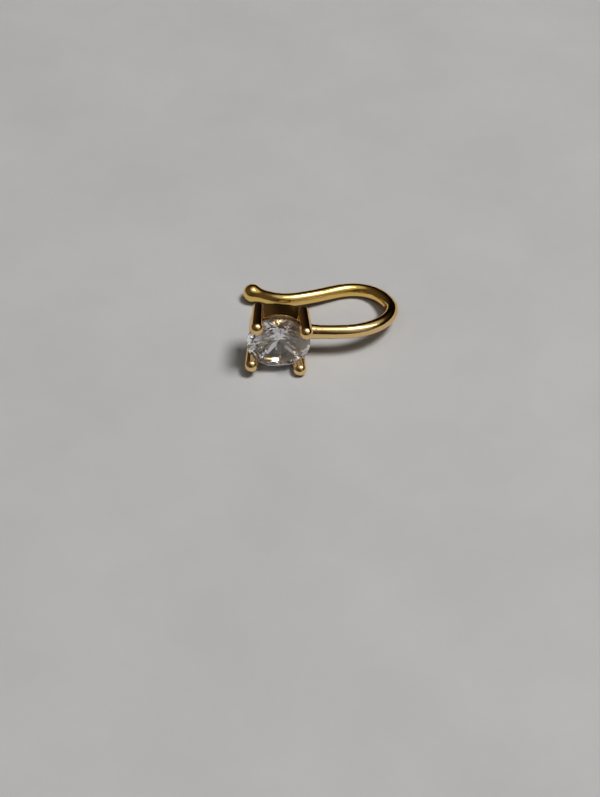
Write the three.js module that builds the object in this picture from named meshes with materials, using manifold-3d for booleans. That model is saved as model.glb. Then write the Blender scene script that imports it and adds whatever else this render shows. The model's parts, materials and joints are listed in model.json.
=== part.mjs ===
// A clip-on nose pin: a round brilliant stone held by four claws on an open cup, with a sprung hook of
// round wire soldered to the side of the cup. Lengths are in millimetres, angles in degrees.
//
// The pin is built in the setting's own frame: the back of the cup is the plane z = 0, +z runs out
// through the stone's table, +x points to the hook's bend and +y to the upper pair of claws. It is then
// laid down as it rests by itself, with +Z up and the bottom centre of its box at the origin.

import * as THREE from 'three';
import { ConvexHull } from 'three/addons/math/ConvexHull.js';
import { mergeVertices } from 'three/addons/utils/BufferGeometryUtils.js';
import Module from 'manifold-3d';

const wasm = await Module();
wasm.setup();

// Stone: a round brilliant
const STONE_DIAMETER = 4.0;
const TABLE_DIAMETER = 2.52; // across the corners of the table
const CROWN_HEIGHT = 0.49;
const GIRDLE_THICKNESS = 0.12; // at its thick points
const PAVILION_DEPTH = 1.59; // down to the point that the culet cuts off
const CULET_DIAMETER = 0.12;
const STAR_LENGTH = 0.53; // share of the way from the table's edge to the girdle
const LOWER_HALF_LENGTH = 0.8; // share of the way from the girdle to the culet
const MAIN_FACETS = 8; // bezels above, mains below
const FACET_TURN = 11.7; // of the bezels and mains, from the hook's side towards the upper claws
const GIRDLE_SIDES = 64;
const STONE_CLEARANCE = 0.04; // between the stone and the metal all round

// Cup: the open ring wall that the stone sits on, round at its rim and cushion-shaped at its foot
const CUP_HEIGHT = 1.13;
const CUP_RIM_WALL = 0.48;
const CUP_FOOT_WALL = 0.44; // between the claws
const CUP_FOOT_SQUARENESS = 3; // power of the foot's outline: 2 is round, and larger is squarer
const CUP_EDGE_BEVEL = 0.05;
const SEAT_WIDTH = 0.6; // how far the cup's bore lies inside the girdle
const SEAT_CUT = 0.05; // how deep the stone is let into the rim
const CUP_SIDES = 56;

// Claws: tapered round wire with rounded ends
const CLAW_COUNT = 4;
const CLAW_ROOT_DIAMETER = 0.7;
const CLAW_TIP_DIAMETER = 0.84;
const CLAW_STANDOFF = 0.17; // of a root's middle from the foot of the cup
const CLAW_GRIP = 0.24; // how far a claw's end reaches in over the girdle
const CLAW_RISE = 0.669; // of the middle of a claw's rounded end above the girdle's lower edge
const CLAW_SIDES = 16;

// Hook: one round wire, bent back behind the cup, with a ball melted on its end
const WIRE_DIAMETER = 0.88;
const BALL_DIAMETER = 1.24;
const NECK_LENGTH = 0.95; // from the ball's middle to where the wire is plain again
const NECK_START = 0.25; // from the ball's middle to where the neck leaves the ball
const HOOK_REACH = 5.55; // from the cup end to the outermost point of the bend
const HOOK_WIDTH = 5.5; // between the middles of the near leg and the far leg at its widest
const HOOK_TAIL = 3.44; // from the cup end back to the ball, the other way
const HOOK_ROOT_HEIGHT = 0.3; // of the wire's middle above the back of the cup
const HOOK_RISE = 6.9; // by how much the near leg climbs towards the upper claws
const HOOK_DROOP = 11.9; // by how much the far leg hangs towards the lower claws
const WIRE_SIDES = 16;
const WIRE_STEPS = 76;
const SOLDER_LENGTH = 0.75; // of the solder along the wire, from the cup's wall
const SOLDER_SWELL = 0.05; // of the solder over the wire, at the cup

// Weight, in grams per cubic centimetre, which settles how the pin lies
const BRASS_DENSITY = 8.5;
const ZIRCONIA_DENSITY = 5.8;

// The wire's middle line from the cup round the bend: shares of the hook's reach and of its width.
const bendStations = [
	{ along: 0.0, across: 0.004 },
	{ along: 0.14, across: -0.01 },
	{ along: 0.32, across: -0.016 },
	{ along: 0.49, across: -0.006 },
	{ along: 0.61, across: 0.023 },
	{ along: 0.73, across: 0.081 },
	{ along: 0.86, across: 0.189 },
	{ along: 0.96, across: 0.345 },
	{ along: 1.0, across: 0.535 },
	{ along: 0.96, across: 0.71 },
	{ along: 0.86, across: 0.872 },
	{ along: 0.74, across: 0.962 },
	{ along: 0.6, across: 1.0 },
	{ along: 0.45, across: 0.985 },
	{ along: 0.3, across: 0.93 },
	{ along: 0.15, across: 0.864 },
];

// From there past the cup to the ball: shares of the tail's length and of the hook's width.
const tailStations = [
	{ back: 0.06, across: 0.797 },
	{ back: 0.24, across: 0.766 },
	{ back: 0.4, across: 0.76 },
	{ back: 0.55, across: 0.776 },
	{ back: 0.7, across: 0.816 },
	{ back: 0.85, across: 0.873 },
	{ back: 1.0, across: 0.931 },
];

// Derived sizes
const stoneRadius = STONE_DIAMETER / 2;
const tableRadius = TABLE_DIAMETER / 2;
const boreRadius = stoneRadius - SEAT_WIDTH;
const footRadius = boreRadius + CUP_FOOT_WALL;
const rimRadius = boreRadius + CUP_RIM_WALL;
const wireRadius = WIRE_DIAMETER / 2;
const ballRadius = BALL_DIAMETER / 2;
const clawTipRadius = CLAW_TIP_DIAMETER / 2;
const clawRootRadius = CLAW_ROOT_DIAMETER / 2;
const pavilionSlope = PAVILION_DEPTH / stoneRadius;
const girdleBottom = CUP_HEIGHT + SEAT_WIDTH * pavilionSlope - SEAT_CUT;
const girdleTop = girdleBottom + GIRDLE_THICKNESS;
const tableHeight = girdleTop + CROWN_HEIGHT;
const culetHeight = girdleBottom - PAVILION_DEPTH + (CULET_DIAMETER / 2) * pavilionSlope;

const radians = THREE.MathUtils.degToRad;

// Closed mesh with shared corners, as a solid that can be joined and cut
function solidOf(geometry) {
	geometry.deleteAttribute('normal');
	geometry.deleteAttribute('uv');
	const merged = mergeVertices(geometry);
	return new wasm.Manifold(new wasm.Mesh({
		numProp: 3,
		vertProperties: new Float32Array(merged.attributes.position.array),
		triVerts: new Uint32Array(merged.index.array),
	}));
}

function geometryOf(solid) {
	const mesh = solid.getMesh();
	const geometry = new THREE.BufferGeometry();
	geometry.setAttribute('position', new THREE.BufferAttribute(mesh.vertProperties, 3));
	geometry.setIndex(new THREE.BufferAttribute(mesh.triVerts, 1));
	geometry.computeVertexNormals();
	return geometry;
}

// A turned solid about +z, from a profile of [radius, height] pairs that runs from its bottom to its top
function turned(profile, sides) {
	const points = profile.map(([radius, height]) => new THREE.Vector2(radius, height));
	return new THREE.LatheGeometry(points, sides).rotateX(Math.PI / 2);
}

// Moves a solid that was made along +z, from the origin, so that it runs from one point towards another
function aimed(geometry, from, towards) {
	const direction = new THREE.Vector3().subVectors(towards, from).normalize();
	const turn = new THREE.Quaternion().setFromUnitVectors(new THREE.Vector3(0, 0, 1), direction);
	return geometry.applyQuaternion(turn).translate(from.x, from.y, from.z);
}

// Removes all that lies outside one facet. The facet faces the azimuth, leans in by the slope, which is
// its fall over its run, and passes through the height at that distance from the axis.
function cutFacet(blank, azimuth, slope, distance, height, allowance) {
	const size = 4 * STONE_DIAMETER; // larger than any blank
	const normal = new THREE.Vector3(Math.abs(slope), 0, Math.sign(slope)).normalize();
	const lean = new THREE.Quaternion().setFromUnitVectors(new THREE.Vector3(0, 0, 1), normal);
	const waste = new THREE.BoxGeometry(size, size, size)
		.translate(0, 0, size / 2 + allowance)
		.applyQuaternion(lean)
		.translate(distance, 0, height)
		.rotateZ(azimuth);
	return blank.subtract(solidOf(waste));
}

// The brilliant, cut from a round blank tier by tier. An allowance makes it larger on all sides, which
// gives the seat that is cut in the metal.
function cutBrilliant(allowance) {
	const step = (2 * Math.PI) / MAIN_FACETS;
	const chord = stoneRadius * Math.cos(step / 4);
	const tableEdge = tableRadius * Math.cos(step / 2);

	// The crown: each star's lower corner lies on the two bezels beside it.
	const bezelSlope = CROWN_HEIGHT / (stoneRadius - tableRadius);
	const starCorner = THREE.MathUtils.lerp(tableEdge, stoneRadius, STAR_LENGTH);
	const starRise = (stoneRadius - starCorner * Math.cos(step / 2)) * bezelSlope;
	const starSlope = (CROWN_HEIGHT - starRise) / (starCorner - tableEdge);
	const upperSlope = starRise / (chord - starCorner * Math.cos(step / 4));

	// The pavilion: the lower girdle facets meet on the lines between two mains.
	const lowerCorner = stoneRadius * (1 - LOWER_HALF_LENGTH);
	const lowerDrop = (stoneRadius - lowerCorner * Math.cos(step / 2)) * pavilionSlope;
	const lowerSlope = lowerDrop / (chord - lowerCorner * Math.cos(step / 4));

	const tiers = [
		{ copies: MAIN_FACETS, start: 0, slope: bezelSlope, distance: stoneRadius, height: girdleTop },
		{ copies: MAIN_FACETS, start: step / 2, slope: starSlope, distance: tableEdge, height: tableHeight },
		{ copies: 2 * MAIN_FACETS, start: step / 4, slope: upperSlope, distance: chord, height: girdleTop },
		{ copies: MAIN_FACETS, start: 0, slope: -pavilionSlope, distance: stoneRadius, height: girdleBottom },
		{ copies: 2 * MAIN_FACETS, start: step / 4, slope: -lowerSlope, distance: chord, height: girdleBottom },
	];

	let stone = solidOf(turned([
		[0, culetHeight - allowance],
		[stoneRadius + allowance, culetHeight - allowance],
		[stoneRadius + allowance, tableHeight + allowance],
		[0, tableHeight + allowance],
	], GIRDLE_SIDES));
	for (const tier of tiers) {
		for (let copy = 0; copy < tier.copies; copy += 1) {
			const azimuth = tier.start + (copy * 2 * Math.PI) / tier.copies;
			stone = cutFacet(stone, azimuth, tier.slope, tier.distance, tier.height, allowance);
		}
	}
	return stone.rotate([0, 0, FACET_TURN]);
}

// How far the cushion outline of the cup's foot lies from the axis, against its nearest points
function cushionStretch(azimuth) {
	const power = CUP_FOOT_SQUARENESS;
	return (Math.abs(Math.cos(azimuth)) ** power + Math.abs(Math.sin(azimuth)) ** power) ** (-1 / power);
}

// A turned blank whose wall is drawn out towards the claws at its foot, then bored
function makeCup() {
	const blank = turned([
		[0, 0],
		[footRadius - CUP_EDGE_BEVEL, 0],
		[footRadius, CUP_EDGE_BEVEL],
		[rimRadius, CUP_HEIGHT - CUP_EDGE_BEVEL],
		[rimRadius - CUP_EDGE_BEVEL, CUP_HEIGHT],
		[0, CUP_HEIGHT],
	], CUP_SIDES);
	const { position } = blank.attributes;
	for (let k = 0; k < position.count; k += 1) {
		const footShare = 1 - position.getZ(k) / CUP_HEIGHT;
		const azimuth = Math.atan2(position.getY(k), position.getX(k));
		const stretch = THREE.MathUtils.lerp(1, cushionStretch(azimuth), footShare);
		position.setXY(k, position.getX(k) * stretch, position.getY(k) * stretch);
	}
	const bore = new THREE.CylinderGeometry(boreRadius, boreRadius, 2 * CUP_HEIGHT, CUP_SIDES)
		.rotateX(Math.PI / 2)
		.translate(0, 0, CUP_HEIGHT / 2);
	return solidOf(blank).subtract(solidOf(bore));
}

// One claw in the direction of the azimuth, filed flush with the back of the cup
function makeClaw(azimuth) {
	const root = new THREE.Vector3(footRadius + CLAW_STANDOFF, 0, 0);
	const tip = new THREE.Vector3(stoneRadius + clawTipRadius - CLAW_GRIP, 0, girdleBottom + CLAW_RISE);
	const length = root.distanceTo(tip);
	const spare = clawRootRadius / 2;
	const roundedEnd = [];
	for (let ring = 0; ring <= CLAW_SIDES / 4; ring += 1) {
		const angle = (ring * 2 * Math.PI) / CLAW_SIDES;
		roundedEnd.push([clawTipRadius * Math.cos(angle), length + clawTipRadius * Math.sin(angle)]);
	}
	roundedEnd[roundedEnd.length - 1][0] = 0;
	const claw = aimed(turned([[0, -spare], [clawRootRadius, -spare], ...roundedEnd], CLAW_SIDES), root, tip);
	const filings = new THREE.BoxGeometry(CLAW_ROOT_DIAMETER * 2, CLAW_ROOT_DIAMETER * 2, CLAW_ROOT_DIAMETER)
		.translate(root.x, 0, -CLAW_ROOT_DIAMETER / 2);
	return solidOf(claw.rotateZ(azimuth)).subtract(solidOf(filings.rotateZ(azimuth)));
}

// The wire's middle line, in the setting's frame. The hook is flat, in a plane of its own.
function makeHookLine() {
	const stations = [
		...bendStations.map(({ along, across }) => [along * HOOK_REACH, across * HOOK_WIDTH]),
		...tailStations.map(({ back, across }) => [-back * HOOK_TAIL, across * HOOK_WIDTH]),
	];
	const rootDistance = boreRadius + wireRadius;
	const points = stations.map(([along, across]) => new THREE.Vector3(along, 0, -across)
		.applyAxisAngle(new THREE.Vector3(1, 0, 0), -radians(HOOK_DROOP))
		.applyAxisAngle(new THREE.Vector3(0, 0, 1), radians(HOOK_RISE))
		.add(new THREE.Vector3(rootDistance, 0, HOOK_ROOT_HEIGHT)));
	return new THREE.CatmullRomCurve3(points, false, 'centripetal');
}

function makeWire(line) {
	const section = new THREE.Shape().absarc(0, 0, wireRadius, 0, 2 * Math.PI, false);
	const wire = new THREE.ExtrudeGeometry(section, {
		steps: WIRE_STEPS,
		curveSegments: WIRE_SIDES / 2,
		extrudePath: line,
		bevelEnabled: false,
	});
	return solidOf(wire);
}

// The ball and the neck that runs out of it along the wire, made as one turned solid
function makeBall(line) {
	const profile = [];
	const neckAngle = Math.acos(NECK_START / ballRadius);
	const rings = WIRE_SIDES / 2;
	for (let ring = 0; ring <= rings; ring += 1) {
		const angle = THREE.MathUtils.lerp(Math.PI, neckAngle, ring / rings);
		profile.push([ballRadius * Math.sin(angle), ballRadius * Math.cos(angle)]);
	}
	profile[0][0] = 0;
	const [leaveRadius, leaveHeight] = profile[profile.length - 1];
	const cornerHeight = leaveHeight + ((leaveRadius - wireRadius) * leaveRadius) / leaveHeight;
	const neck = new THREE.QuadraticBezierCurve(
		new THREE.Vector2(leaveRadius, leaveHeight),
		new THREE.Vector2(wireRadius, cornerHeight),
		new THREE.Vector2(wireRadius, NECK_LENGTH),
	);
	for (const point of neck.getPoints(rings / 2).slice(1)) {
		profile.push([point.x, point.y]);
	}
	profile.push([0, NECK_LENGTH]);
	const end = line.getPointAt(1);
	const inwards = line.getTangentAt(1).negate().add(end);
	return solidOf(aimed(turned(profile, WIRE_SIDES), end, inwards));
}

// The wire's rounded end in the cup's wall, with the solder that runs out along the wire from there
function makeSolderJoint(line) {
	const start = line.getPointAt(0);
	const ahead = line.getTangentAt(0).add(start);
	const roundedEnd = new THREE.SphereGeometry(wireRadius, WIRE_SIDES, WIRE_SIDES / 2)
		.translate(start.x, start.y, start.z);
	const solder = turned([
		[0, 0],
		[wireRadius, 0],
		[wireRadius + SOLDER_SWELL, SOLDER_LENGTH / 4],
		[wireRadius + SOLDER_SWELL / 3, SOLDER_LENGTH / 2],
		[wireRadius, SOLDER_LENGTH],
		[0, SOLDER_LENGTH],
	], WIRE_SIDES);
	return solidOf(roundedEnd).add(solidOf(aimed(solder, start, ahead)));
}

function makeSetting() {
	let metal = makeCup();
	for (let claw = 0; claw < CLAW_COUNT; claw += 1) {
		metal = metal.add(makeClaw(((claw + 0.5) * 2 * Math.PI) / CLAW_COUNT));
	}
	const line = makeHookLine();
	metal = metal.add(makeWire(line)).add(makeBall(line)).add(makeSolderJoint(line));
	metal = metal.subtract(cutBrilliant(STONE_CLEARANCE));
	const gold = new THREE.MeshStandardMaterial({ color: 0xdcb565, roughness: 0.16, metalness: 1 });
	const setting = new THREE.Mesh(geometryOf(metal), gold);
	setting.name = 'claw_setting_with_hook';
	return setting;
}

function makeStone() {
	const clear = new THREE.MeshStandardMaterial({ color: 0xf3f5f7, roughness: 0.02, metalness: 0 });
	const stone = new THREE.Mesh(geometryOf(cutBrilliant(0)), clear);
	stone.name = 'stone';
	return stone;
}

// The volume of a closed mesh and its centre
function volumeAndCentre(geometry) {
	const { position } = geometry.attributes;
	const centre = new THREE.Vector3();
	let volume = 0;
	const corners = [new THREE.Vector3(), new THREE.Vector3(), new THREE.Vector3()];
	for (let first = 0; first < geometry.index.count; first += 3) {
		corners.forEach((corner, k) => corner.fromBufferAttribute(position, geometry.index.getX(first + k)));
		const [a, b, c] = corners;
		const wedge = a.dot(new THREE.Vector3().crossVectors(b, c)) / 6;
		volume += wedge;
		centre.addScaledVector(new THREE.Vector3().add(a).add(b).add(c), wedge / 4);
	}
	return { volume, centre: centre.divideScalar(volume) };
}

function centreOfMass(loads) {
	const centre = new THREE.Vector3();
	let mass = 0;
	for (const { mesh, density } of loads) {
		const part = volumeAndCentre(mesh.geometry);
		centre.addScaledVector(part.centre, part.volume * density);
		mass += part.volume * density;
	}
	return centre.divideScalar(mass);
}

// Whether a point lies over a face of the hull, seen square to the face
function isOverFace(point, face) {
	let edge = face.edge;
	do {
		const side = new THREE.Vector3().subVectors(edge.head().point, edge.tail().point);
		const reach = new THREE.Vector3().subVectors(point, edge.tail().point);
		if (side.cross(reach).dot(face.normal) < 0) {
			return false;
		}
		edge = edge.next;
	} while (edge !== face.edge);
	return true;
}

// The pin rests on the face of its hull that lies under its centre of mass and nearest the lower claws'
// side. The way from the cup to the bend then points along +X.
function restingTurn(meshes, centre) {
	const points = meshes.flatMap((mesh) => {
		const { position } = mesh.geometry.attributes;
		return Array.from({ length: position.count }, (_, corner) => (
			new THREE.Vector3().fromBufferAttribute(position, corner)
		));
	});
	const hull = new ConvexHull().setFromPoints(points);
	const supports = hull.faces.filter((face) => isOverFace(centre, face));
	const floor = supports.reduce((best, face) => (face.normal.y < best.normal.y ? face : best));
	const up = floor.normal.clone().negate();
	const along = new THREE.Vector3(1, 0, 0).projectOnPlane(up).normalize();
	const away = new THREE.Vector3().crossVectors(up, along);
	return new THREE.Matrix4().makeBasis(along, away, up).transpose();
}

const setting = makeSetting();
const stone = makeStone();
const centre = centreOfMass([
	{ mesh: setting, density: BRASS_DENSITY },
	{ mesh: stone, density: ZIRCONIA_DENSITY },
]);

const nosePin = new THREE.Group();
nosePin.add(setting, stone);
nosePin.setRotationFromMatrix(restingTurn([setting, stone], centre));
const box = new THREE.Box3().setFromObject(nosePin, true);
const middle = box.getCenter(new THREE.Vector3());
nosePin.position.set(-middle.x, -middle.y, -box.min.z);

export default nosePin;
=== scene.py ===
"""Dresses a clip-on nose pin: a clawed cup and a hook in gold plate, and a round brilliant.

Each piece is modelled on a bench of its own, in millimetres and in the setting's frame, where +z
runs out through the stone's table, +x points to the hook's bend and the back of the cup is the
plane z = 0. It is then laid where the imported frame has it.
"""

import json
import math

import bpy
from bpy.props import FloatProperty, FloatVectorProperty, IntProperty, PointerProperty
from bpy.types import Operator, Panel, PropertyGroup
from mathutils import Euler, Matrix, Vector
from mathutils.geometry import interpolate_bezier


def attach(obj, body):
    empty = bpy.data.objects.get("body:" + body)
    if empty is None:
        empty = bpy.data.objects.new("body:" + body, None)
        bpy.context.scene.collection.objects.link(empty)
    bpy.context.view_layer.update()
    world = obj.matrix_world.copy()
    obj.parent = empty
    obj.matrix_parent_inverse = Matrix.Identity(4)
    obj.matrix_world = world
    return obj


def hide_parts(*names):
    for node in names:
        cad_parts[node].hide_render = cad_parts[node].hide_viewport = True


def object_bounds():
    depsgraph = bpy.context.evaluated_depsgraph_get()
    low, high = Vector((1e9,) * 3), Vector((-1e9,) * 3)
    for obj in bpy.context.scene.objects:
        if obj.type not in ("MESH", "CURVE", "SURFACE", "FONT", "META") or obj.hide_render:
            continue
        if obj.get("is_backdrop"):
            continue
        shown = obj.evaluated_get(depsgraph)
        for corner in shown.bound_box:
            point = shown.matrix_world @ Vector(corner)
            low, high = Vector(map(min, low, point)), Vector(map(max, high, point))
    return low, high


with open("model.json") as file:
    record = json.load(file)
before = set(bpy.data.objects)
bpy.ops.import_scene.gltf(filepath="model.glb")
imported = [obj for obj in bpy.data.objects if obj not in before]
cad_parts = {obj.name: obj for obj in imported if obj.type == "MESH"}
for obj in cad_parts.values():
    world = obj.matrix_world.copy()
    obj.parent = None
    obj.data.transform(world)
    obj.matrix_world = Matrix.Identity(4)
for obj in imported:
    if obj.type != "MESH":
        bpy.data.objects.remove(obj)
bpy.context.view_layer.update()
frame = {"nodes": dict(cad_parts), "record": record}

bl_info = {
    "name": "Clip-on Nose Pin",
    "version": (1, 0, 0),
    "blender": (4, 5, 0),
    "location": "3D View > Sidebar > Nose Pin",
    "description": "Models a claw-set brilliant on a sprung wire hook and lays it on a pale floor",
    "category": "Add Mesh",
}

MM = 0.001
METAL_NODE = "claw_setting_with_hook"
STONE_NODE = "stone"
IMAGE_LONG_SIDE = 797
IMAGE_PIXELS_PER_MM = 16.0

# How finely the pieces are drawn.
LINE_STEPS = 14
TUBE_SIDES = 56
SOLDER_SIDES = 32
CAP_STEPS = 14
CUP_SIDES = 192
CLAW_SEGMENTS = 40
CLAW_RINGS = 24
CREASE_ANGLE = math.radians(40)

# Distances in millimetres within which corners count as one, on a cut and in a tube's end.
CUT_THRESHOLD = 0.00001
WELD_DISTANCE = 0.0005

# A face whose normal's height is less than this faces straight down.
STRAIGHT_DOWN = -0.99

# The wire's middle line from the cup round the bend: shares of the hook's reach and of its width.
BEND_STATIONS = [
    {"along": 0.0, "across": 0.004},
    {"along": 0.14, "across": -0.01},
    {"along": 0.32, "across": -0.016},
    {"along": 0.49, "across": -0.006},
    {"along": 0.61, "across": 0.023},
    {"along": 0.73, "across": 0.081},
    {"along": 0.86, "across": 0.189},
    {"along": 0.96, "across": 0.345},
    {"along": 1.0, "across": 0.535},
    {"along": 0.96, "across": 0.71},
    {"along": 0.86, "across": 0.872},
    {"along": 0.74, "across": 0.962},
    {"along": 0.6, "across": 1.0},
    {"along": 0.45, "across": 0.985},
    {"along": 0.3, "across": 0.93},
    {"along": 0.15, "across": 0.864},
]

# From there past the cup to the ball: shares of the tail's length and of the hook's width.
TAIL_STATIONS = [
    {"back": 0.06, "across": 0.797},
    {"back": 0.24, "across": 0.766},
    {"back": 0.4, "across": 0.76},
    {"back": 0.55, "across": 0.776},
    {"back": 0.7, "across": 0.816},
    {"back": 0.85, "across": 0.873},
    {"back": 1.0, "across": 0.931},
]

# Noise patterns: features per millimetre, detail, and roughness of the pattern.
PATTERNS = {
    "plate_patches": (0.9, 3.0, 0.55),
    "plate_grain": (14.0, 6.0, 0.65),
    "plate_buffing": (1.6, 5.0, 0.7),
    "plate_dents": (2.2, 2.0, 0.55),
    "stone_haze": (5.0, 4.0, 0.55),
    "floor_mottle": (0.09, 5.0, 0.6),
    "floor_tooth": (2.6, 5.0, 0.6),
}
BUFFING_STRETCH = (2.0, 26.0, 9.0)
BUFFING_TURN = (0.3, 0.2, 0.9)

# What a pattern or a place does to a finish: from low, from high, to low, to high.
FINISH_RANGES = {
    "deeper_gold_at_the_back": (-1.5, 3.0, 0.0, 0.8),
    "deeper_gold_in_patches": (0.38, 0.62, -0.1, 0.2),
    "specks": (0.42, 0.66, 0.25, 1.0),
    "tarnish_in_hollows": (0.25, 0.8, 1.0, 0.0),
    # Painted shade as well as tarnish: the corners are darkened into the tarnish colour.
    "shade_and_tarnish_in_corners": (0.2, 0.62, 0.95, 0.0),
    "buffing_lines": (0.52, 0.72, 0.0, 1.0),
    "polish_by_grain": (0.3, 0.7, 0.7, 1.35),
    "haze_on_the_stone": (0.45, 0.75, 0.0, 0.018),
    "mottle_on_the_floor": (0.35, 0.65, 0.0, 1.0),
}

# The plate: how far from a corner it is tarnished and painted with shade, in millimetres, and by
# how much the tarnish and painted shade, the buffing lines and the grain change its colour,
# roughness and height.
CORNER_REACH = 0.7
CORNER_SAMPLES = 8
HOLLOW_TARNISH = 0.55
BUFFED_ROUGHNESS = 0.05
ROUGHNESS_OF_TARNISH_AND_SHADE = 0.3
GRAIN_HEIGHT = 0.05
BUFFING_DEPTH = 0.03
PLATE_BUMP = {"Strength": 0.6, "Distance": 0.012 * MM}

# The floor, how dark its dull patches are, and how it shines.
FLOOR_DULLNESS = 0.94
FLOOR_ROUGHNESS = 0.9
FLOOR_SPECULAR = 0.2
FLOOR_BUMP = {"Strength": 0.25, "Distance": 0.05 * MM}

# Where the room glows: the axis of each glow, and its level at angles from that axis in degrees.
ROOM_GLOWS = [
    {"axis": (-0.9, -0.2, 0.35), "levels": {0: 0.1, 50: 0.07, 78: 0.03, 95: 0.006, 180: 0.004}},
    {"axis": (0.3, 0.02, 0.95),
     "levels": {0: 0.5, 30: 0.43, 37: 0.28, 43: 0.09, 50: 0.022, 64: 0.0}},
    {"axis": (0.6, -0.62, 0.5), "levels": {0: 0.2, 20: 0.14, 40: 0.0}},
]
ROOM_BROWN = (1.0, 0.72, 0.45)
ROOM_WHITE = (1.0, 1.0, 0.99)
ROOM_TINT_RANGE = (0.02, 0.3, 0.0, 1.0)

# The lamps, all as far from the pin, and what each is seen by: one throws the shadows, a wide one
# fills them, one sparkles in the stone, and a long panel makes the lines of light on the plate.
LAMPS = [
    {"name": "shadow_lamp", "towards": (0.36, -0.12, 0.92), "width": 0.25, "length": 0.25,
     "power": 3.66, "seen_by": ("diffuse",)},
    {"name": "fill_lamp", "towards": (-0.1, -0.4, 0.9), "width": 1.2, "length": 1.2,
     "power": 1.45, "seen_by": ("diffuse",)},
    {"name": "sparkle_lamp", "towards": (0.31, 0.1, 0.92), "width": 0.26, "length": 0.26,
     "power": 1.2, "seen_by": ("glossy", "transmission")},
    {"name": "overhead_panel", "towards": (0.42, 0.0, 0.9), "width": 0.32, "length": 0.9,
     "power": 1.25, "seen_by": ("glossy", "transmission")},
]

# The stage in metres.
FLOOR_SIZE = 4.0
LAMP_DISTANCE = 0.8
CAMERA_FAR_END = 20.0

# How often light bounces inside the stone and off the plate.
STONE_BOUNCES = 24
PLATE_BOUNCES = 12


def length(name, description, millimetres):
    """A length that the sidebar shows in the scene's units, with its default in millimetres."""
    return FloatProperty(
        name=name,
        description=description,
        default=millimetres * MM,
        min=0.0,
        precision=5,
        subtype="DISTANCE",
        unit="LENGTH",
    )


def angle(name, description, degrees):
    """An angle, with its default in degrees."""
    return FloatProperty(
        name=name,
        description=description,
        default=math.radians(degrees),
        subtype="ANGLE",
        unit="ROTATION",
    )


def share(name, description, default):
    """A share from 0 to 1."""
    return FloatProperty(
        name=name, description=description, default=default, min=0.0, max=1.0, subtype="FACTOR"
    )


def colour(name, description, default):
    """A colour in linear red, green and blue."""
    return FloatVectorProperty(
        name=name,
        description=description,
        default=default,
        size=3,
        min=0.0,
        max=1.0,
        subtype="COLOR",
    )


class StoneSizes(PropertyGroup):
    """The round brilliant."""

    diameter: length("Diameter", "Across the girdle", 4.0)
    table_diameter: length("Table", "Across the corners of the table", 2.52)
    crown_height: length("Crown", "From the girdle up to the table", 0.49)
    girdle_thickness: length("Girdle", "Thickness of the girdle at its thick points", 0.12)
    pavilion_depth: length("Pavilion", "From the girdle down to the point", 1.59)
    culet_diameter: length("Culet", "Width of the small facet at the point", 0.12)
    star_length: share("Star length", "How far the stars reach from the table to the girdle", 0.53)
    lower_half_length: share("Lower halves", "How far the lower halves reach to the point", 0.8)
    main_facets: IntProperty(
        name="Main facets",
        description="Bezels above the girdle and mains below it",
        default=8,
        min=4,
    )
    facet_turn: angle("Facet turn", "Turn of the bezels and mains from the hook's side", 11.7)
    girdle_sides: IntProperty(
        name="Girdle sides",
        description="Sides of the round blank that the stone is cut from",
        default=96,
    )
    tint: colour("Tint", "Colour of the clear stone", (0.985, 0.978, 0.995))
    refraction: FloatProperty(
        name="Refraction", description="Index of refraction of the stone", default=2.05, min=1.0
    )


class SettingSizes(PropertyGroup):
    """The cup and its claws."""

    cup_height: length("Cup height", "From the back of the cup to its rim", 1.13)
    rim_wall: length("Rim wall", "Thickness of the cup's wall at the rim", 0.48)
    foot_wall: length("Foot wall", "Thickness of the cup's wall at its back", 0.44)
    foot_squareness: FloatProperty(
        name="Foot squareness",
        description="Power of the foot's outline: 2 is round, larger is squarer",
        default=3.0,
    )
    seat_width: length("Seat width", "How far the cup's bore lies inside the girdle", 0.6)
    seat_cut: length("Seat cut", "How deep the stone is let into the rim", 0.05)
    stone_clearance: length("Stone clearance", "Gap between the stone and the metal", 0.04)
    claw_root_diameter: length("Claw root", "Thickness of a claw at the back of the cup", 0.7)
    claw_tip_diameter: length("Claw tip", "Thickness of a claw at its rounded end", 0.84)
    claw_standoff: length("Claw stand-off", "From the foot to the middle of a claw's root", 0.17)
    claw_grip: length("Claw grip", "How far a claw's end reaches in over the girdle", 0.24)
    claw_rise: length("Claw rise", "From the girdle's foot to the middle of a rounded end", 0.669)
    claw_count: IntProperty(name="Claws", description="Number of claws", default=4, min=3)
    fuse_voxel: length("Fusing voxel", "Fineness of the fused metal", 0.034)
    fuse_passes: IntProperty(
        name="Fusing passes", description="Smoothing of the soldered joints", default=4
    )


class HookSizes(PropertyGroup):
    """The wire hook and its ball."""

    wire_diameter: length("Wire", "Thickness of the wire", 0.88)
    ball_diameter: length("Ball", "Thickness of the ball end", 1.24)
    neck_start: length("Neck start", "From the ball's middle to where the neck leaves it", 0.25)
    neck_length: length("Neck length", "From the ball's middle to where the wire is plain", 0.95)
    reach: length("Reach", "From the cup end to the outermost point of the bend", 5.55)
    width: length("Width", "Between the near leg and the far leg at its widest", 5.5)
    tail: length("Tail", "From the cup end back to the ball", 3.44)
    root_height: length("Root height", "From the back of the cup to the wire's middle", 0.3)
    rise: angle("Rise", "How much the near leg climbs towards the upper claws", 6.9)
    droop: angle("Droop", "How much the far leg hangs towards the lower claws", 11.9)
    solder_length: length("Solder length", "How far the solder runs out along the wire", 0.75)
    solder_swell: length("Solder swell", "How far the solder stands over the wire", 0.045)
    solder_step: length("Solder step", "How far the solder's end stands over the wire", 0.018)


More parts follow.
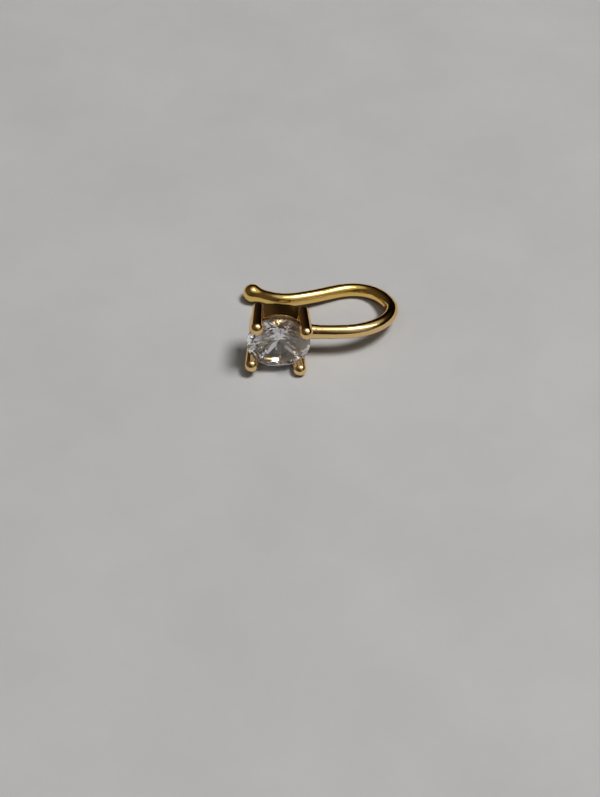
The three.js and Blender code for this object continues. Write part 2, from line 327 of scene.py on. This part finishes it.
class MetalFinish(PropertyGroup):
    """The gold plate."""

    gold: colour("Gold", "Colour of the plate on the far leg", (0.94, 0.69, 0.23))
    pale_gold: colour("Pale gold", "Colour of the plate on the stone's side", (0.95, 0.71, 0.37))
    # Colour of the tarnish and of the shade painted into the corners.
    tarnish_and_shade: colour("Tarnish", "Colour in the corners that polishing misses", (0.36, 0.21, 0.08))
    edge: colour("Edge tint", "Tint of the reflections at a grazing angle", (1.0, 0.87, 0.8))
    polish: share("Roughness", "Mean roughness of the polished plate", 0.08)


class StageSettings(PropertyGroup):
    """The floor, the light and the camera."""

    floor: colour("Floor", "Colour of the pale floor", (0.62, 0.611, 0.611))
    azimuth: angle("Azimuth", "Camera's turn about the pin", 0.9022)
    elevation: angle("Elevation", "Camera's height above the horizon", 45.9445)
    distance: length("Distance", "From the camera to the middle of the picture", 110.0)
    target: FloatVectorProperty(
        name="Target",
        description="The point on the floor at the middle of the picture",
        default=(-1.4357 * MM, -5.8457 * MM, 0.0),
        size=3,
        subtype="TRANSLATION",
        unit="LENGTH",
    )


def bench(value):
    """A stored length in the bench's unit, the millimetre."""
    return value / MM


def read_setting_frame(stone):
    """The matrix from the bench to the row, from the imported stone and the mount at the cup's back.

    The table's corner nearest the bend lies at the facets' turn from the way to the bend.
    """
    back = next(mount for mount in frame["record"]["mounts"] if mount["name"] == "cup_back")
    outwards = -Vector(back["axis"]).normalized()
    corners = [vertex.co for vertex in frame["nodes"][STONE_NODE].data.vertices]
    top = max(corner.dot(outwards) for corner in corners)
    flatness = MM / 1000
    table = [corner for corner in corners if top - corner.dot(outwards) < flatness]
    near_bend = max(table, key=lambda corner: corner.x)
    far_from_bend = min(table, key=lambda corner: corner.x)
    middle = (near_bend + far_from_bend) / 2
    towards_bend = (near_bend - far_from_bend).normalized()
    across = Matrix.Rotation(-stone.facet_turn, 3, outwards) @ towards_bend
    origin = middle - outwards * (middle - Vector(back["pos_m"])).dot(outwards)
    axes = Matrix((across, outwards.cross(across), outwards)).transposed().to_4x4()
    return Matrix.Translation(origin) @ axes @ Matrix.Scale(MM, 4)


def select_only(*pieces):
    """Selects these pieces alone, and makes the first one active."""
    bpy.ops.object.select_all(action="DESELECT")
    for piece in pieces:
        piece.select_set(True)
    bpy.context.view_layer.objects.active = pieces[0]


def apply_transform(piece):
    """Puts a piece's place, turn and size into its mesh."""
    select_only(piece)
    bpy.ops.object.transform_apply(location=True, rotation=True, scale=True)


def select_in_mesh(piece, kind, wanted):
    """Goes into edit mode with the faces, or the corners, selected that pass the test."""
    bpy.ops.object.mode_set(mode="OBJECT")
    mesh = piece.data
    for part in (*mesh.vertices, *mesh.edges, *mesh.polygons):
        part.select = False
    for part in mesh.polygons if kind == "FACE" else mesh.vertices:
        part.select = wanted(part)
    bpy.ops.object.mode_set(mode="EDIT")
    bpy.ops.mesh.select_mode(type=kind)


def cut_off(point, outwards):
    """In edit mode, cuts off all beyond a plane and closes the cut."""
    bpy.ops.mesh.select_all(action="SELECT")
    bpy.ops.mesh.bisect(
        plane_co=point,
        plane_no=outwards,
        use_fill=True,
        clear_outer=True,
        threshold=CUT_THRESHOLD,
    )


def apply_modifier(piece, kind, **settings):
    """Adds a modifier with these settings and applies it."""
    select_only(piece)
    modifier = piece.modifiers.new(kind.title(), kind)
    for name, value in settings.items():
        setattr(modifier, name, value)
    bpy.ops.object.modifier_apply(modifier=modifier.name)


def cut_away(piece, tool):
    """Cuts one piece with another and puts the tool away."""
    apply_modifier(piece, "BOOLEAN", operation="DIFFERENCE", solver="EXACT", object=tool)
    bpy.data.objects.remove(tool, do_unlink=True)


def add_tube(name, rings, sides):
    """A closed round body through rings of [middle, radius], drawn as a bevelled curve."""
    bpy.ops.object.select_all(action="DESELECT")
    bpy.ops.curve.primitive_nurbs_path_add()
    tube = bpy.context.object
    tube.name = name
    curve = tube.data
    curve.splines.clear()
    spline = curve.splines.new("POLY")
    spline.points.add(len(rings) - 1)
    for point, (middle, radius) in zip(spline.points, rings):
        point.co = (*middle, 1.0)
        point.radius = radius
    curve.dimensions = "3D"
    curve.twist_mode = "MINIMUM"
    curve.bevel_depth = 1.0
    curve.bevel_resolution = (sides - 4) // 2
    curve.use_fill_caps = True
    select_only(tube)
    bpy.ops.object.convert(target="MESH")
    tube = bpy.context.object
    bpy.ops.object.mode_set(mode="EDIT")
    bpy.ops.mesh.select_all(action="SELECT")
    bpy.ops.mesh.remove_doubles(threshold=WELD_DISTANCE)
    bpy.ops.mesh.normals_make_consistent(inside=False)
    bpy.ops.object.mode_set(mode="OBJECT")
    tube.name = name
    tube.data.name = name
    return tube


def stone_heights(stone, setting):
    """The height of the girdle's foot over the cup's back, and the radius of the cup's bore."""
    radius = bench(stone.diameter) / 2
    slope = bench(stone.pavilion_depth) / radius
    bottom = bench(setting.cup_height) + bench(setting.seat_width) * slope - bench(setting.seat_cut)
    return bottom, radius - bench(setting.seat_width)


def facet_tiers(stone, girdle_bottom):
    """The brilliant's tiers: how many facets, where the first one faces, and the plane of each.

    In order: bezels, stars, upper girdle facets, mains and lower girdle facets.
    """
    step = 2 * math.pi / stone.main_facets
    radius = bench(stone.diameter) / 2
    chord = radius * math.cos(step / 4)
    table_corner = bench(stone.table_diameter) / 2
    table_edge = table_corner * math.cos(step / 2)
    crown = bench(stone.crown_height)
    girdle_top = girdle_bottom + bench(stone.girdle_thickness)

    bezel_slope = crown / (radius - table_corner)
    star_corner = table_edge + (radius - table_edge) * stone.star_length
    star_rise = (radius - star_corner * math.cos(step / 2)) * bezel_slope
    star_slope = (crown - star_rise) / (star_corner - table_edge)
    upper_slope = star_rise / (chord - star_corner * math.cos(step / 4))

    main_slope = bench(stone.pavilion_depth) / radius
    lower_corner = radius * (1 - stone.lower_half_length)
    lower_drop = (radius - lower_corner * math.cos(step / 2)) * main_slope
    lower_slope = lower_drop / (chord - lower_corner * math.cos(step / 4))

    count = stone.main_facets
    return [
        {"copies": count, "first": 0, "slope": bezel_slope,
         "distance": radius, "height": girdle_top},
        {"copies": count, "first": step / 2, "slope": star_slope,
         "distance": table_edge, "height": girdle_top + crown},
        {"copies": 2 * count, "first": step / 4, "slope": upper_slope,
         "distance": chord, "height": girdle_top},
        {"copies": count, "first": 0, "slope": -main_slope,
         "distance": radius, "height": girdle_bottom},
        {"copies": 2 * count, "first": step / 4, "slope": -lower_slope,
         "distance": chord, "height": girdle_bottom},
    ]


def cut_brilliant(stone, setting, allowance):
    """A brilliant cut facet by facet from a round blank, larger on all sides by the allowance."""
    bottom, _ = stone_heights(stone, setting)
    radius = bench(stone.diameter) / 2
    slope = bench(stone.pavilion_depth) / radius
    point = bottom - bench(stone.pavilion_depth)
    culet = point + bench(stone.culet_diameter) / 2 * slope - allowance
    table = bottom + bench(stone.girdle_thickness) + bench(stone.crown_height) + allowance
    bpy.ops.object.select_all(action="DESELECT")
    bpy.ops.mesh.primitive_cylinder_add(
        vertices=stone.girdle_sides,
        radius=radius + allowance,
        depth=table - culet,
        location=(0, 0, (table + culet) / 2),
        rotation=(0, 0, stone.facet_turn),
    )
    blank = bpy.context.object
    bpy.ops.object.mode_set(mode="EDIT")
    for tier in facet_tiers(stone, bottom):
        for copy in range(tier["copies"]):
            azimuth = stone.facet_turn + tier["first"] + copy * 2 * math.pi / tier["copies"]
            outwards = Vector((math.cos(azimuth), math.sin(azimuth), 0))
            upright = Vector((0, 0, math.copysign(1, tier["slope"])))
            normal = (outwards * abs(tier["slope"]) + upright).normalized()
            on_facet = outwards * tier["distance"] + Vector((0, 0, tier["height"]))
            cut_off(on_facet + normal * allowance, normal)
    bpy.ops.mesh.select_all(action="SELECT")
    bpy.ops.mesh.normals_make_consistent(inside=False)
    bpy.ops.object.mode_set(mode="OBJECT")
    apply_transform(blank)
    return blank


def hook_line(stone, setting, hook):
    """The wire's middle line as close points on smooth curves through the stations.

    The hook is flat, in a plane of its own that rises and droops from the setting's.
    """
    _, bore_radius = stone_heights(stone, setting)
    reach, width, tail = (bench(value) for value in (hook.reach, hook.width, hook.tail))
    flat = [(row["along"] * reach, row["across"] * width) for row in BEND_STATIONS]
    flat += [(-row["back"] * tail, row["across"] * width) for row in TAIL_STATIONS]
    tilt = Matrix.Rotation(hook.rise, 3, "Z") @ Matrix.Rotation(-hook.droop, 3, "X")
    root = Vector((bore_radius + bench(hook.wire_diameter) / 2, 0, bench(hook.root_height)))
    knots = [root + tilt @ Vector((along, 0, -across)) for along, across in flat]
    before = knots[0] * 2 - knots[1]
    after = knots[-1] * 2 - knots[-2]
    padded = [before, *knots, after]
    line = []
    for first, start, end, last in zip(padded, padded[1:], padded[2:], padded[3:]):
        gaps = [math.sqrt((b - a).length) for a, b in ((first, start), (start, end), (end, last))]
        middle = (end - start) / gaps[1]
        leave = (start - first) / gaps[0] - (end - first) / (gaps[0] + gaps[1]) + middle
        arrive = middle - (last - start) / (gaps[1] + gaps[2]) + (last - end) / gaps[2]
        start_handle = start + leave * gaps[1] / 3
        end_handle = end - arrive * gaps[1] / 3
        line += interpolate_bezier(start, start_handle, end_handle, end, LINE_STEPS + 1)[:-1]
    line.append(knots[-1])
    return line


def from_end(line, distance):
    """The point on the line at this distance from its last point."""
    for end, start in zip(reversed(line), reversed(line[:-1])):
        step = (end - start).length
        if distance <= step:
            return end.lerp(start, distance / step)
        distance -= step
    return line[0]


def neck_profile(hook):
    """Pairs of [distance from the ball's middle, radius] from the plain wire up to the ball."""
    wire = bench(hook.wire_diameter) / 2
    ball = bench(hook.ball_diameter) / 2
    leave = bench(hook.neck_start)
    leave_radius = math.sqrt(ball**2 - leave**2)
    corner = leave + (leave_radius - wire) * leave_radius / leave
    plain = bench(hook.neck_length)
    profile = []
    for step in range(CAP_STEPS + 1):
        share_done = step / CAP_STEPS
        weights = (share_done**2, 2 * share_done * (1 - share_done), (1 - share_done) ** 2)
        distance = weights[0] * leave + weights[1] * corner + weights[2] * plain
        radius = weights[0] * leave_radius + weights[1] * wire + weights[2] * wire
        profile.append((distance, radius))
    return profile


def hook_rings(line, hook):
    """Rings of [middle, radius] along the hook: rounded end, wire, neck and ball."""
    wire = bench(hook.wire_diameter) / 2
    ball = bench(hook.ball_diameter) / 2
    outset = (line[0] - line[1]).normalized()
    rings = []
    for step in range(CAP_STEPS):
        turn = math.pi / 2 * (1 - step / CAP_STEPS)
        rings.append((line[0] + outset * wire * math.sin(turn), wire * math.cos(turn)))
    neck = neck_profile(hook)
    plain = from_end(line, neck[0][0])
    for point in line:
        if (point - line[-1]).length > (plain - line[-1]).length:
            rings.append((point, wire))
    rings += [(from_end(line, distance), radius) for distance, radius in neck]
    inwards = (line[-2] - line[-1]).normalized()
    first_turn = math.acos(bench(hook.neck_start) / ball)
    for step in range(1, 2 * CAP_STEPS + 1):
        turn = first_turn + (math.pi - first_turn) * step / (2 * CAP_STEPS)
        rings.append((line[-1] + inwards * ball * math.cos(turn), ball * math.sin(turn)))
    return rings


def square_foot(cup, setting):
    """Draws the foot's corners out towards the claws, eight matching corners at a time."""
    power = setting.foot_squareness
    nearness = math.pi / CUP_SIDES / 2
    for step in range(1, CUP_SIDES // 8 + 1):
        azimuth = step * 2 * math.pi / CUP_SIDES
        stretch = (math.cos(azimuth) ** power + math.sin(azimuth) ** power) ** (-1 / power)

        def is_matching(corner):
            own = math.atan2(abs(corner.co.y), abs(corner.co.x))
            return corner.co.z < 0 and abs(min(own, math.pi / 2 - own) - azimuth) < nearness

        select_in_mesh(cup, "VERT", is_matching)
        bpy.ops.transform.resize(value=(stretch, stretch, 1), center_override=(0, 0, 0))
    bpy.ops.object.mode_set(mode="OBJECT")


def add_cup(stone, setting):
    """The open cup: a tapered blank, squared at its foot and bored through."""
    _, bore = stone_heights(stone, setting)
    height = bench(setting.cup_height)
    bpy.ops.object.select_all(action="DESELECT")
    bpy.ops.mesh.primitive_cone_add(
        vertices=CUP_SIDES,
        radius1=bore + bench(setting.foot_wall),
        radius2=bore + bench(setting.rim_wall),
        depth=height,
        location=(0, 0, height / 2),
    )
    cup = bpy.context.object
    square_foot(cup, setting)
    bpy.ops.object.select_all(action="DESELECT")
    bpy.ops.mesh.primitive_cylinder_add(
        vertices=CUP_SIDES, radius=bore, depth=2 * height, location=(0, 0, height / 2)
    )
    cut_away(cup, bpy.context.object)
    apply_transform(cup)
    return cup


def add_claw(stone, setting, azimuth):
    """One claw: half a ball, drawn out down to its thinner root, leant outwards and filed flush."""
    girdle, bore = stone_heights(stone, setting)
    tip_radius = bench(setting.claw_tip_diameter) / 2
    root_radius = bench(setting.claw_root_diameter) / 2
    root = Vector((bore + bench(setting.foot_wall) + bench(setting.claw_standoff), 0, 0))
    tip = Vector((
        bench(stone.diameter) / 2 + tip_radius - bench(setting.claw_grip),
        0,
        girdle + bench(setting.claw_rise),
    ))
    spare = root_radius / 2
    bpy.ops.object.select_all(action="DESELECT")
    bpy.ops.mesh.primitive_uv_sphere_add(
        segments=CLAW_SEGMENTS, ring_count=CLAW_RINGS, radius=tip_radius
    )
    claw = bpy.context.object
    bpy.ops.object.mode_set(mode="EDIT")
    cut_off((0, 0, 0), (0, 0, -1))
    select_in_mesh(claw, "FACE", lambda face: face.normal.z < STRAIGHT_DOWN)
    bpy.ops.mesh.extrude_region_move(
        TRANSFORM_OT_translate={"value": (0, 0, -(tip - root).length - spare)}
    )
    narrowing = root_radius / tip_radius
    bpy.ops.transform.resize(value=(narrowing, narrowing, 1), center_override=(0, 0, 0))
    bpy.ops.object.mode_set(mode="OBJECT")
    claw.matrix_world = (
        Matrix.Rotation(azimuth, 4, "Z")
        @ Matrix.Translation(tip)
        @ (tip - root).to_track_quat("Z", "Y").to_matrix().to_4x4()
    )
    apply_transform(claw)
    bpy.ops.object.mode_set(mode="EDIT")
    cut_off((0, 0, 0), (0, 0, -1))
    bpy.ops.mesh.select_all(action="SELECT")
    bpy.ops.mesh.normals_make_consistent(inside=False)
    bpy.ops.object.mode_set(mode="OBJECT")
    return claw


def add_solder(line, hook):
    """The solder at the wire's root: a collar that ends in a fine step on the wire."""
    wire = bench(hook.wire_diameter) / 2
    reach = bench(hook.solder_length)
    swell = bench(hook.solder_swell)
    step = bench(hook.solder_step)
    along = (line[1] - line[0]).normalized()
    profile = [
        (-wire / 2, wire + swell / 2),
        (reach / 4, wire + swell),
        (reach / 2, wire + (swell + step) / 2),
        (reach * 3 / 4, wire + step),
        (reach, wire + step),
    ]
    rings = [(line[0] + along * distance, radius) for distance, radius in profile]
    return add_tube("solder", rings, SOLDER_SIDES)


def place(piece, name, bench_to_row, material):
    """Lays a finished piece in the row, names it and gives it its one material."""
    piece.matrix_world = bench_to_row
    apply_transform(piece)
    piece.name = name
    piece.data.name = name
    piece.data.materials.clear()
    piece.data.materials.append(material)
    return piece


class Nodes:
    """Short names for laying out the nodes of a material or of the room."""

    def __init__(self, tree):
        self.tree = tree
        self.shader = tree.nodes.get("Principled BSDF")

    def add(self, kind, inputs=None, **settings):
        node = self.tree.nodes.new(kind)
        for name, value in settings.items():
            setattr(node, name, value)
        for key, value in (inputs or {}).items():
            if isinstance(value, bpy.types.NodeSocket):
                self.tree.links.new(value, node.inputs[key])
            else:
                node.inputs[key].default_value = value
        return node

    def link(self, source, target):
        self.tree.links.new(source, target)

    def millimetres(self, scale=(1, 1, 1), turn=(0, 0, 0)):
        """Object coordinates in millimetres, turned and stretched."""
        where = self.add("ShaderNodeTexCoord")
        size = tuple(value / MM for value in scale)
        mapping = self.add(
            "ShaderNodeMapping",
            {"Vector": where.outputs["Object"], "Rotation": turn, "Scale": size},
        )
        return mapping.outputs["Vector"]

    def noise(self, vector, pattern):
        """One of the named noise patterns."""
        scale, detail, roughness = PATTERNS[pattern]
        node = self.add(
            "ShaderNodeTexNoise",
            {"Vector": vector, "Scale": scale, "Detail": detail, "Roughness": roughness},
        )
        return node.outputs["Fac"]

    def spread(self, value, low, high, to_low, to_high):
        """The value taken from one range to another, and held there."""
        ends = {"From Min": low, "From Max": high, "To Min": to_low, "To Max": to_high}
        return self.add("ShaderNodeMapRange", {"Value": value, **ends}).outputs["Result"]

    def finish_range(self, value, name):
        """The value taken through one of the named ranges of a finish."""
        return self.spread(value, *FINISH_RANGES[name])

    def maths(self, operation, first, second):
        node = self.add("ShaderNodeMath", {0: first, 1: second}, operation=operation)
        return node.outputs["Value"]

    def mix(self, factor, first, second):
        """A blend of two colours, each a socket or plain red, green and blue."""
        node = self.add("ShaderNodeMix", {0: factor}, data_type="RGBA")
        for socket, value in ((node.inputs[6], first), (node.inputs[7], second)):
            if isinstance(value, bpy.types.NodeSocket):
                self.tree.links.new(value, socket)
            else:
                socket.default_value = (*value, 1.0)
        return node.outputs[2]


def new_material(name):
    """A material with its one shader, and its nodes."""
    material = bpy.data.materials.new(name)
    material.use_nodes = True
    return material, Nodes(material.node_tree)


def gold_plate_material(finish):
    """Polished gold plate: deep and pale patches, faint buffing lines, tarnish and painted shade in
    the corners.
    """
    material, nodes = new_material("polished_gold_plate")
    where = nodes.millimetres()
    patches = nodes.noise(where, "plate_patches")
    grain = nodes.noise(where, "plate_grain")
    buffing = nodes.noise(nodes.millimetres(BUFFING_STRETCH, BUFFING_TURN), "plate_buffing")

    away = nodes.add("ShaderNodeSeparateXYZ", {"Vector": where}).outputs["Y"]
    depth = nodes.maths(
        "ADD",
        nodes.finish_range(away, "deeper_gold_at_the_back"),
        nodes.finish_range(patches, "deeper_gold_in_patches"),
    )
    plate = nodes.mix(depth, finish.pale_gold, finish.gold)
    # Tarnish specks in the hollows, and painted shade that darkens the corners into the tarnish
    # colour.
    corners = nodes.add(
        "ShaderNodeAmbientOcclusion", {"Distance": CORNER_REACH * MM}, samples=CORNER_SAMPLES
    ).outputs["AO"]
    hollows = nodes.finish_range(corners, "tarnish_in_hollows")
    specks = nodes.finish_range(grain, "specks")
    speckled = nodes.maths("MULTIPLY", nodes.maths("MULTIPLY", hollows, specks), HOLLOW_TARNISH)
    tarnish_and_shade = nodes.maths("MAXIMUM", speckled, nodes.finish_range(corners, "shade_and_tarnish_in_corners"))
    nodes.link(nodes.mix(tarnish_and_shade, plate, finish.tarnish_and_shade), nodes.shader.inputs["Base Color"])

    lines = nodes.finish_range(buffing, "buffing_lines")
    low, high, smoothest, roughest = FINISH_RANGES["polish_by_grain"]
    rough = nodes.spread(grain, low, high, finish.polish * smoothest, finish.polish * roughest)
    rough = nodes.maths("ADD", rough, nodes.maths("MULTIPLY", lines, BUFFED_ROUGHNESS))
    rough = nodes.maths("ADD", rough, nodes.maths("MULTIPLY", tarnish_and_shade, ROUGHNESS_OF_TARNISH_AND_SHADE))
    nodes.link(rough, nodes.shader.inputs["Roughness"])

    dents = nodes.noise(where, "plate_dents")
    height = nodes.maths("ADD", dents, nodes.maths("MULTIPLY", grain, GRAIN_HEIGHT))
    height = nodes.maths("SUBTRACT", height, nodes.maths("MULTIPLY", lines, BUFFING_DEPTH))
    bump = nodes.add("ShaderNodeBump", {"Height": height, **PLATE_BUMP})
    nodes.link(bump.outputs["Normal"], nodes.shader.inputs["Normal"])
    nodes.shader.inputs["Metallic"].default_value = 1.0
    nodes.shader.inputs["Specular Tint"].default_value = (*finish.edge, 1.0)
    return material


def clear_stone_material(stone):
    """Clear, strongly refracting stone with polished facets and faint polishing haze."""
    material, nodes = new_material("clear_brilliant_stone")
    haze = nodes.noise(nodes.millimetres(), "stone_haze")
    nodes.link(nodes.finish_range(haze, "haze_on_the_stone"), nodes.shader.inputs["Roughness"])
    nodes.shader.inputs["Base Color"].default_value = (*stone.tint, 1.0)
    nodes.shader.inputs["IOR"].default_value = stone.refraction
    nodes.shader.inputs["Transmission Weight"].default_value = 1.0
    return material


def floor_material(stage):
    """Pale matt floor with faint mottling and a soft tooth."""
    material, nodes = new_material("pale_floor")
    where = nodes.millimetres()
    mottle = nodes.finish_range(nodes.noise(where, "floor_mottle"), "mottle_on_the_floor")
    dull = tuple(value * FLOOR_DULLNESS for value in stage.floor)
    nodes.link(nodes.mix(mottle, dull, stage.floor), nodes.shader.inputs["Base Color"])
    bump = nodes.add(
        "ShaderNodeBump", {"Height": nodes.noise(where, "floor_tooth"), **FLOOR_BUMP}
    )
    nodes.link(bump.outputs["Normal"], nodes.shader.inputs["Normal"])
    nodes.shader.inputs["Roughness"].default_value = FLOOR_ROUGHNESS
    nodes.shader.inputs["Specular IOR Level"].default_value = FLOOR_SPECULAR
    return material


def metal_material(context):
    """The plate's material, made once for both metal pieces."""
    made = bpy.data.materials.get("polished_gold_plate")
    return made or gold_plate_material(context.scene.nose_pin_metal)


class NOSEPIN_OT_setting(Operator):
    """Models the cup, its claws and the solder, and fuses them into one body"""

    bl_idname = "nose_pin.setting"
    bl_label = "Clawed Setting"

    def execute(self, context):
        stone = context.scene.nose_pin_stone
        setting = context.scene.nose_pin_setting
        hook = context.scene.nose_pin_hook
        cup = add_cup(stone, setting)
        claws = [
            add_claw(stone, setting, (number + 0.5) * 2 * math.pi / setting.claw_count)
            for number in range(setting.claw_count)
        ]
        solder = add_solder(hook_line(stone, setting, hook), hook)
        select_only(cup, solder, *claws)
        bpy.ops.object.join()
        cup.data.remesh_voxel_size = bench(setting.fuse_voxel)
        cup.data.remesh_voxel_adaptivity = 0.0
        bpy.ops.object.voxel_remesh()
        apply_modifier(cup, "SMOOTH", factor=0.5, iterations=setting.fuse_passes)
        cut_away(cup, cut_brilliant(stone, setting, bench(setting.stone_clearance)))
        select_only(cup)
        bpy.ops.object.shade_smooth_by_angle(angle=CREASE_ANGLE)
        frame_of_setting = read_setting_frame(stone)
        piece = place(cup, "clawed_setting", frame_of_setting, metal_material(context))
        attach(piece, "root")
        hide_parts(METAL_NODE)
        return {"FINISHED"}


class NOSEPIN_OT_hook(Operator):
    """Draws the wire hook with its neck and ball end"""

    bl_idname = "nose_pin.hook"
    bl_label = "Wire Hook"

    def execute(self, context):
        stone = context.scene.nose_pin_stone
        hook = context.scene.nose_pin_hook
        line = hook_line(stone, context.scene.nose_pin_setting, hook)
        wire = add_tube("wire_hook", hook_rings(line, hook), TUBE_SIDES)
        select_only(wire)
        bpy.ops.object.shade_smooth()
        frame_of_setting = read_setting_frame(stone)
        piece = place(wire, "wire_hook", frame_of_setting, metal_material(context))
        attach(piece, "root")
        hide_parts(METAL_NODE)
        return {"FINISHED"}


class NOSEPIN_OT_stone(Operator):
    """Cuts the round brilliant"""

    bl_idname = "nose_pin.stone"
    bl_label = "Brilliant Stone"

    def execute(self, context):
        stone = context.scene.nose_pin_stone
        brilliant = cut_brilliant(stone, context.scene.nose_pin_setting, 0.0)
        select_only(brilliant)
        bpy.ops.object.shade_flat()
        frame_of_setting = read_setting_frame(stone)
        piece = place(brilliant, "brilliant", frame_of_setting, clear_stone_material(stone))
        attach(piece, "root")
        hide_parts(STONE_NODE)
        return {"FINISHED"}


def light_room(scene):
    """A dim brown room that glows softly round the lamps, seen in the plate and in the stone.

    The fill lamp takes its place on the floor.
    """
    world = bpy.data.worlds.new("soft_room")
    scene.world = world
    world.use_nodes = True
    world.cycles_visibility.diffuse = False
    nodes = Nodes(world.node_tree)
    where = nodes.add("ShaderNodeTexCoord").outputs["Generated"]
    total = None
    for glow in ROOM_GLOWS:
        axis = Vector(glow["axis"]).normalized()
        toward = nodes.add("ShaderNodeVectorMath", {0: where, 1: axis}, operation="DOT_PRODUCT")
        half = nodes.spread(toward.outputs["Value"], -1.0, 1.0, 0.0, 1.0)
        ramp = nodes.add("ShaderNodeValToRGB", {"Fac": half})
        stops = sorted(
            (0.5 + math.cos(math.radians(turn)) / 2, level)
            for turn, level in glow["levels"].items()
        )
        elements = ramp.color_ramp.elements
        elements[0].position, elements[1].position = stops[0][0], stops[-1][0]
        for position, _ in stops[1:-1]:
            elements.new(position)
        for element, (_, level) in zip(elements, stops):
            element.color = (level, level, level, 1.0)
        own = ramp.outputs["Color"]
        total = own if total is None else nodes.maths("ADD", total, own)
    tint = nodes.mix(nodes.spread(total, *ROOM_TINT_RANGE), ROOM_BROWN, ROOM_WHITE)
    backdrop = world.node_tree.nodes["Background"]
    nodes.link(tint, backdrop.inputs["Color"])
    nodes.link(total, backdrop.inputs["Strength"])


def add_lamps():
    """The soft lamps overhead, turned to the pin."""
    for row in LAMPS:
        away = Vector(row["towards"]).normalized()
        bpy.ops.object.select_all(action="DESELECT")
        bpy.ops.object.light_add(type="AREA", location=away * LAMP_DISTANCE)
        lamp = bpy.context.object
        lamp.name = row["name"]
        lamp.rotation_euler = away.to_track_quat("Z", "Y").to_euler()
        lamp.data.shape = "ELLIPSE"
        lamp.data.size = row["width"]
        lamp.data.size_y = row["length"]
        lamp.data.energy = row["power"]
        lamp.data.color = ROOM_WHITE
        lamp.visible_diffuse = "diffuse" in row["seen_by"]
        lamp.visible_glossy = "glossy" in row["seen_by"]
        lamp.visible_transmission = "transmission" in row["seen_by"]


def place_camera(stage):
    """The camera at the photo's angle and scale."""
    azimuth, elevation = stage.azimuth, stage.elevation
    backwards = Vector((
        -math.sin(azimuth) * math.cos(elevation),
        -math.cos(azimuth) * math.cos(elevation),
        math.sin(elevation),
    ))
    bpy.ops.object.camera_add(location=Vector(stage.target) + backwards * stage.distance)
    camera = bpy.context.object
    camera.name = "camera"
    camera.rotation_euler = Euler((math.pi / 2 - elevation, 0, -azimuth))
    lens = camera.data
    pixels = bench(stage.distance) * IMAGE_PIXELS_PER_MM
    lens.lens = pixels * lens.sensor_width / IMAGE_LONG_SIDE
    lens.clip_start = stage.distance / 100
    lens.clip_end = CAMERA_FAR_END
    return camera


class NOSEPIN_OT_stage(Operator):
    """Lays the floor, sets the light and places the camera"""

    bl_idname = "nose_pin.stage"
    bl_label = "Floor, Light and Camera"

    def execute(self, context):
        scene = context.scene
        stage = scene.nose_pin_stage
        lowest = min(0.0, *(corner[2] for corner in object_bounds()))
        bpy.ops.object.select_all(action="DESELECT")
        bpy.ops.mesh.primitive_plane_add(size=FLOOR_SIZE, location=(0, 0, lowest))
        floor = bpy.context.object
        floor.name = "floor"
        apply_transform(floor)
        floor.data.materials.append(floor_material(stage))
        floor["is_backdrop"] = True
        add_lamps()
        light_room(scene)
        scene.camera = place_camera(stage)
        scene.view_settings.view_transform = "Standard"
        scene.view_settings.look = "Medium High Contrast"
        scene.cycles.max_bounces = STONE_BOUNCES
        scene.cycles.transmission_bounces = STONE_BOUNCES
        scene.cycles.glossy_bounces = PLATE_BOUNCES
        scene.cycles.use_denoising = True
        return {"FINISHED"}


class NOSEPIN_PT_panel(Panel):
    """Lists the pin's pieces and the stage"""

    bl_idname = "NOSEPIN_PT_panel"
    bl_label = "Nose Pin"
    bl_space_type = "VIEW_3D"
    bl_region_type = "UI"
    bl_category = "Nose Pin"

    def draw(self, context):
        for group, operator in (
            ("nose_pin_setting", "nose_pin.setting"),
            ("nose_pin_hook", "nose_pin.hook"),
            ("nose_pin_stone", "nose_pin.stone"),
            ("nose_pin_metal", None),
            ("nose_pin_stage", "nose_pin.stage"),
        ):
            box = self.layout.box()
            settings = getattr(context.scene, group)
            for name in settings.__annotations__:
                box.prop(settings, name)
            if operator:
                box.operator(operator)


GROUPS = {
    "nose_pin_stone": StoneSizes,
    "nose_pin_setting": SettingSizes,
    "nose_pin_hook": HookSizes,
    "nose_pin_metal": MetalFinish,
    "nose_pin_stage": StageSettings,
}
OPERATORS = (NOSEPIN_OT_setting, NOSEPIN_OT_hook, NOSEPIN_OT_stone, NOSEPIN_OT_stage)


def register():
    for group_class in (*GROUPS.values(), *OPERATORS, NOSEPIN_PT_panel):
        bpy.utils.register_class(group_class)
    for name, group_class in GROUPS.items():
        setattr(bpy.types.Scene, name, PointerProperty(type=group_class))


def unregister():
    for name in GROUPS:
        delattr(bpy.types.Scene, name)
    for group_class in reversed((*GROUPS.values(), *OPERATORS, NOSEPIN_PT_panel)):
        bpy.utils.unregister_class(group_class)


def main():
    register()
    bpy.ops.nose_pin.setting()
    bpy.ops.nose_pin.hook()
    bpy.ops.nose_pin.stone()
    bpy.ops.nose_pin.stage()


if __name__ == "__main__":
    main()
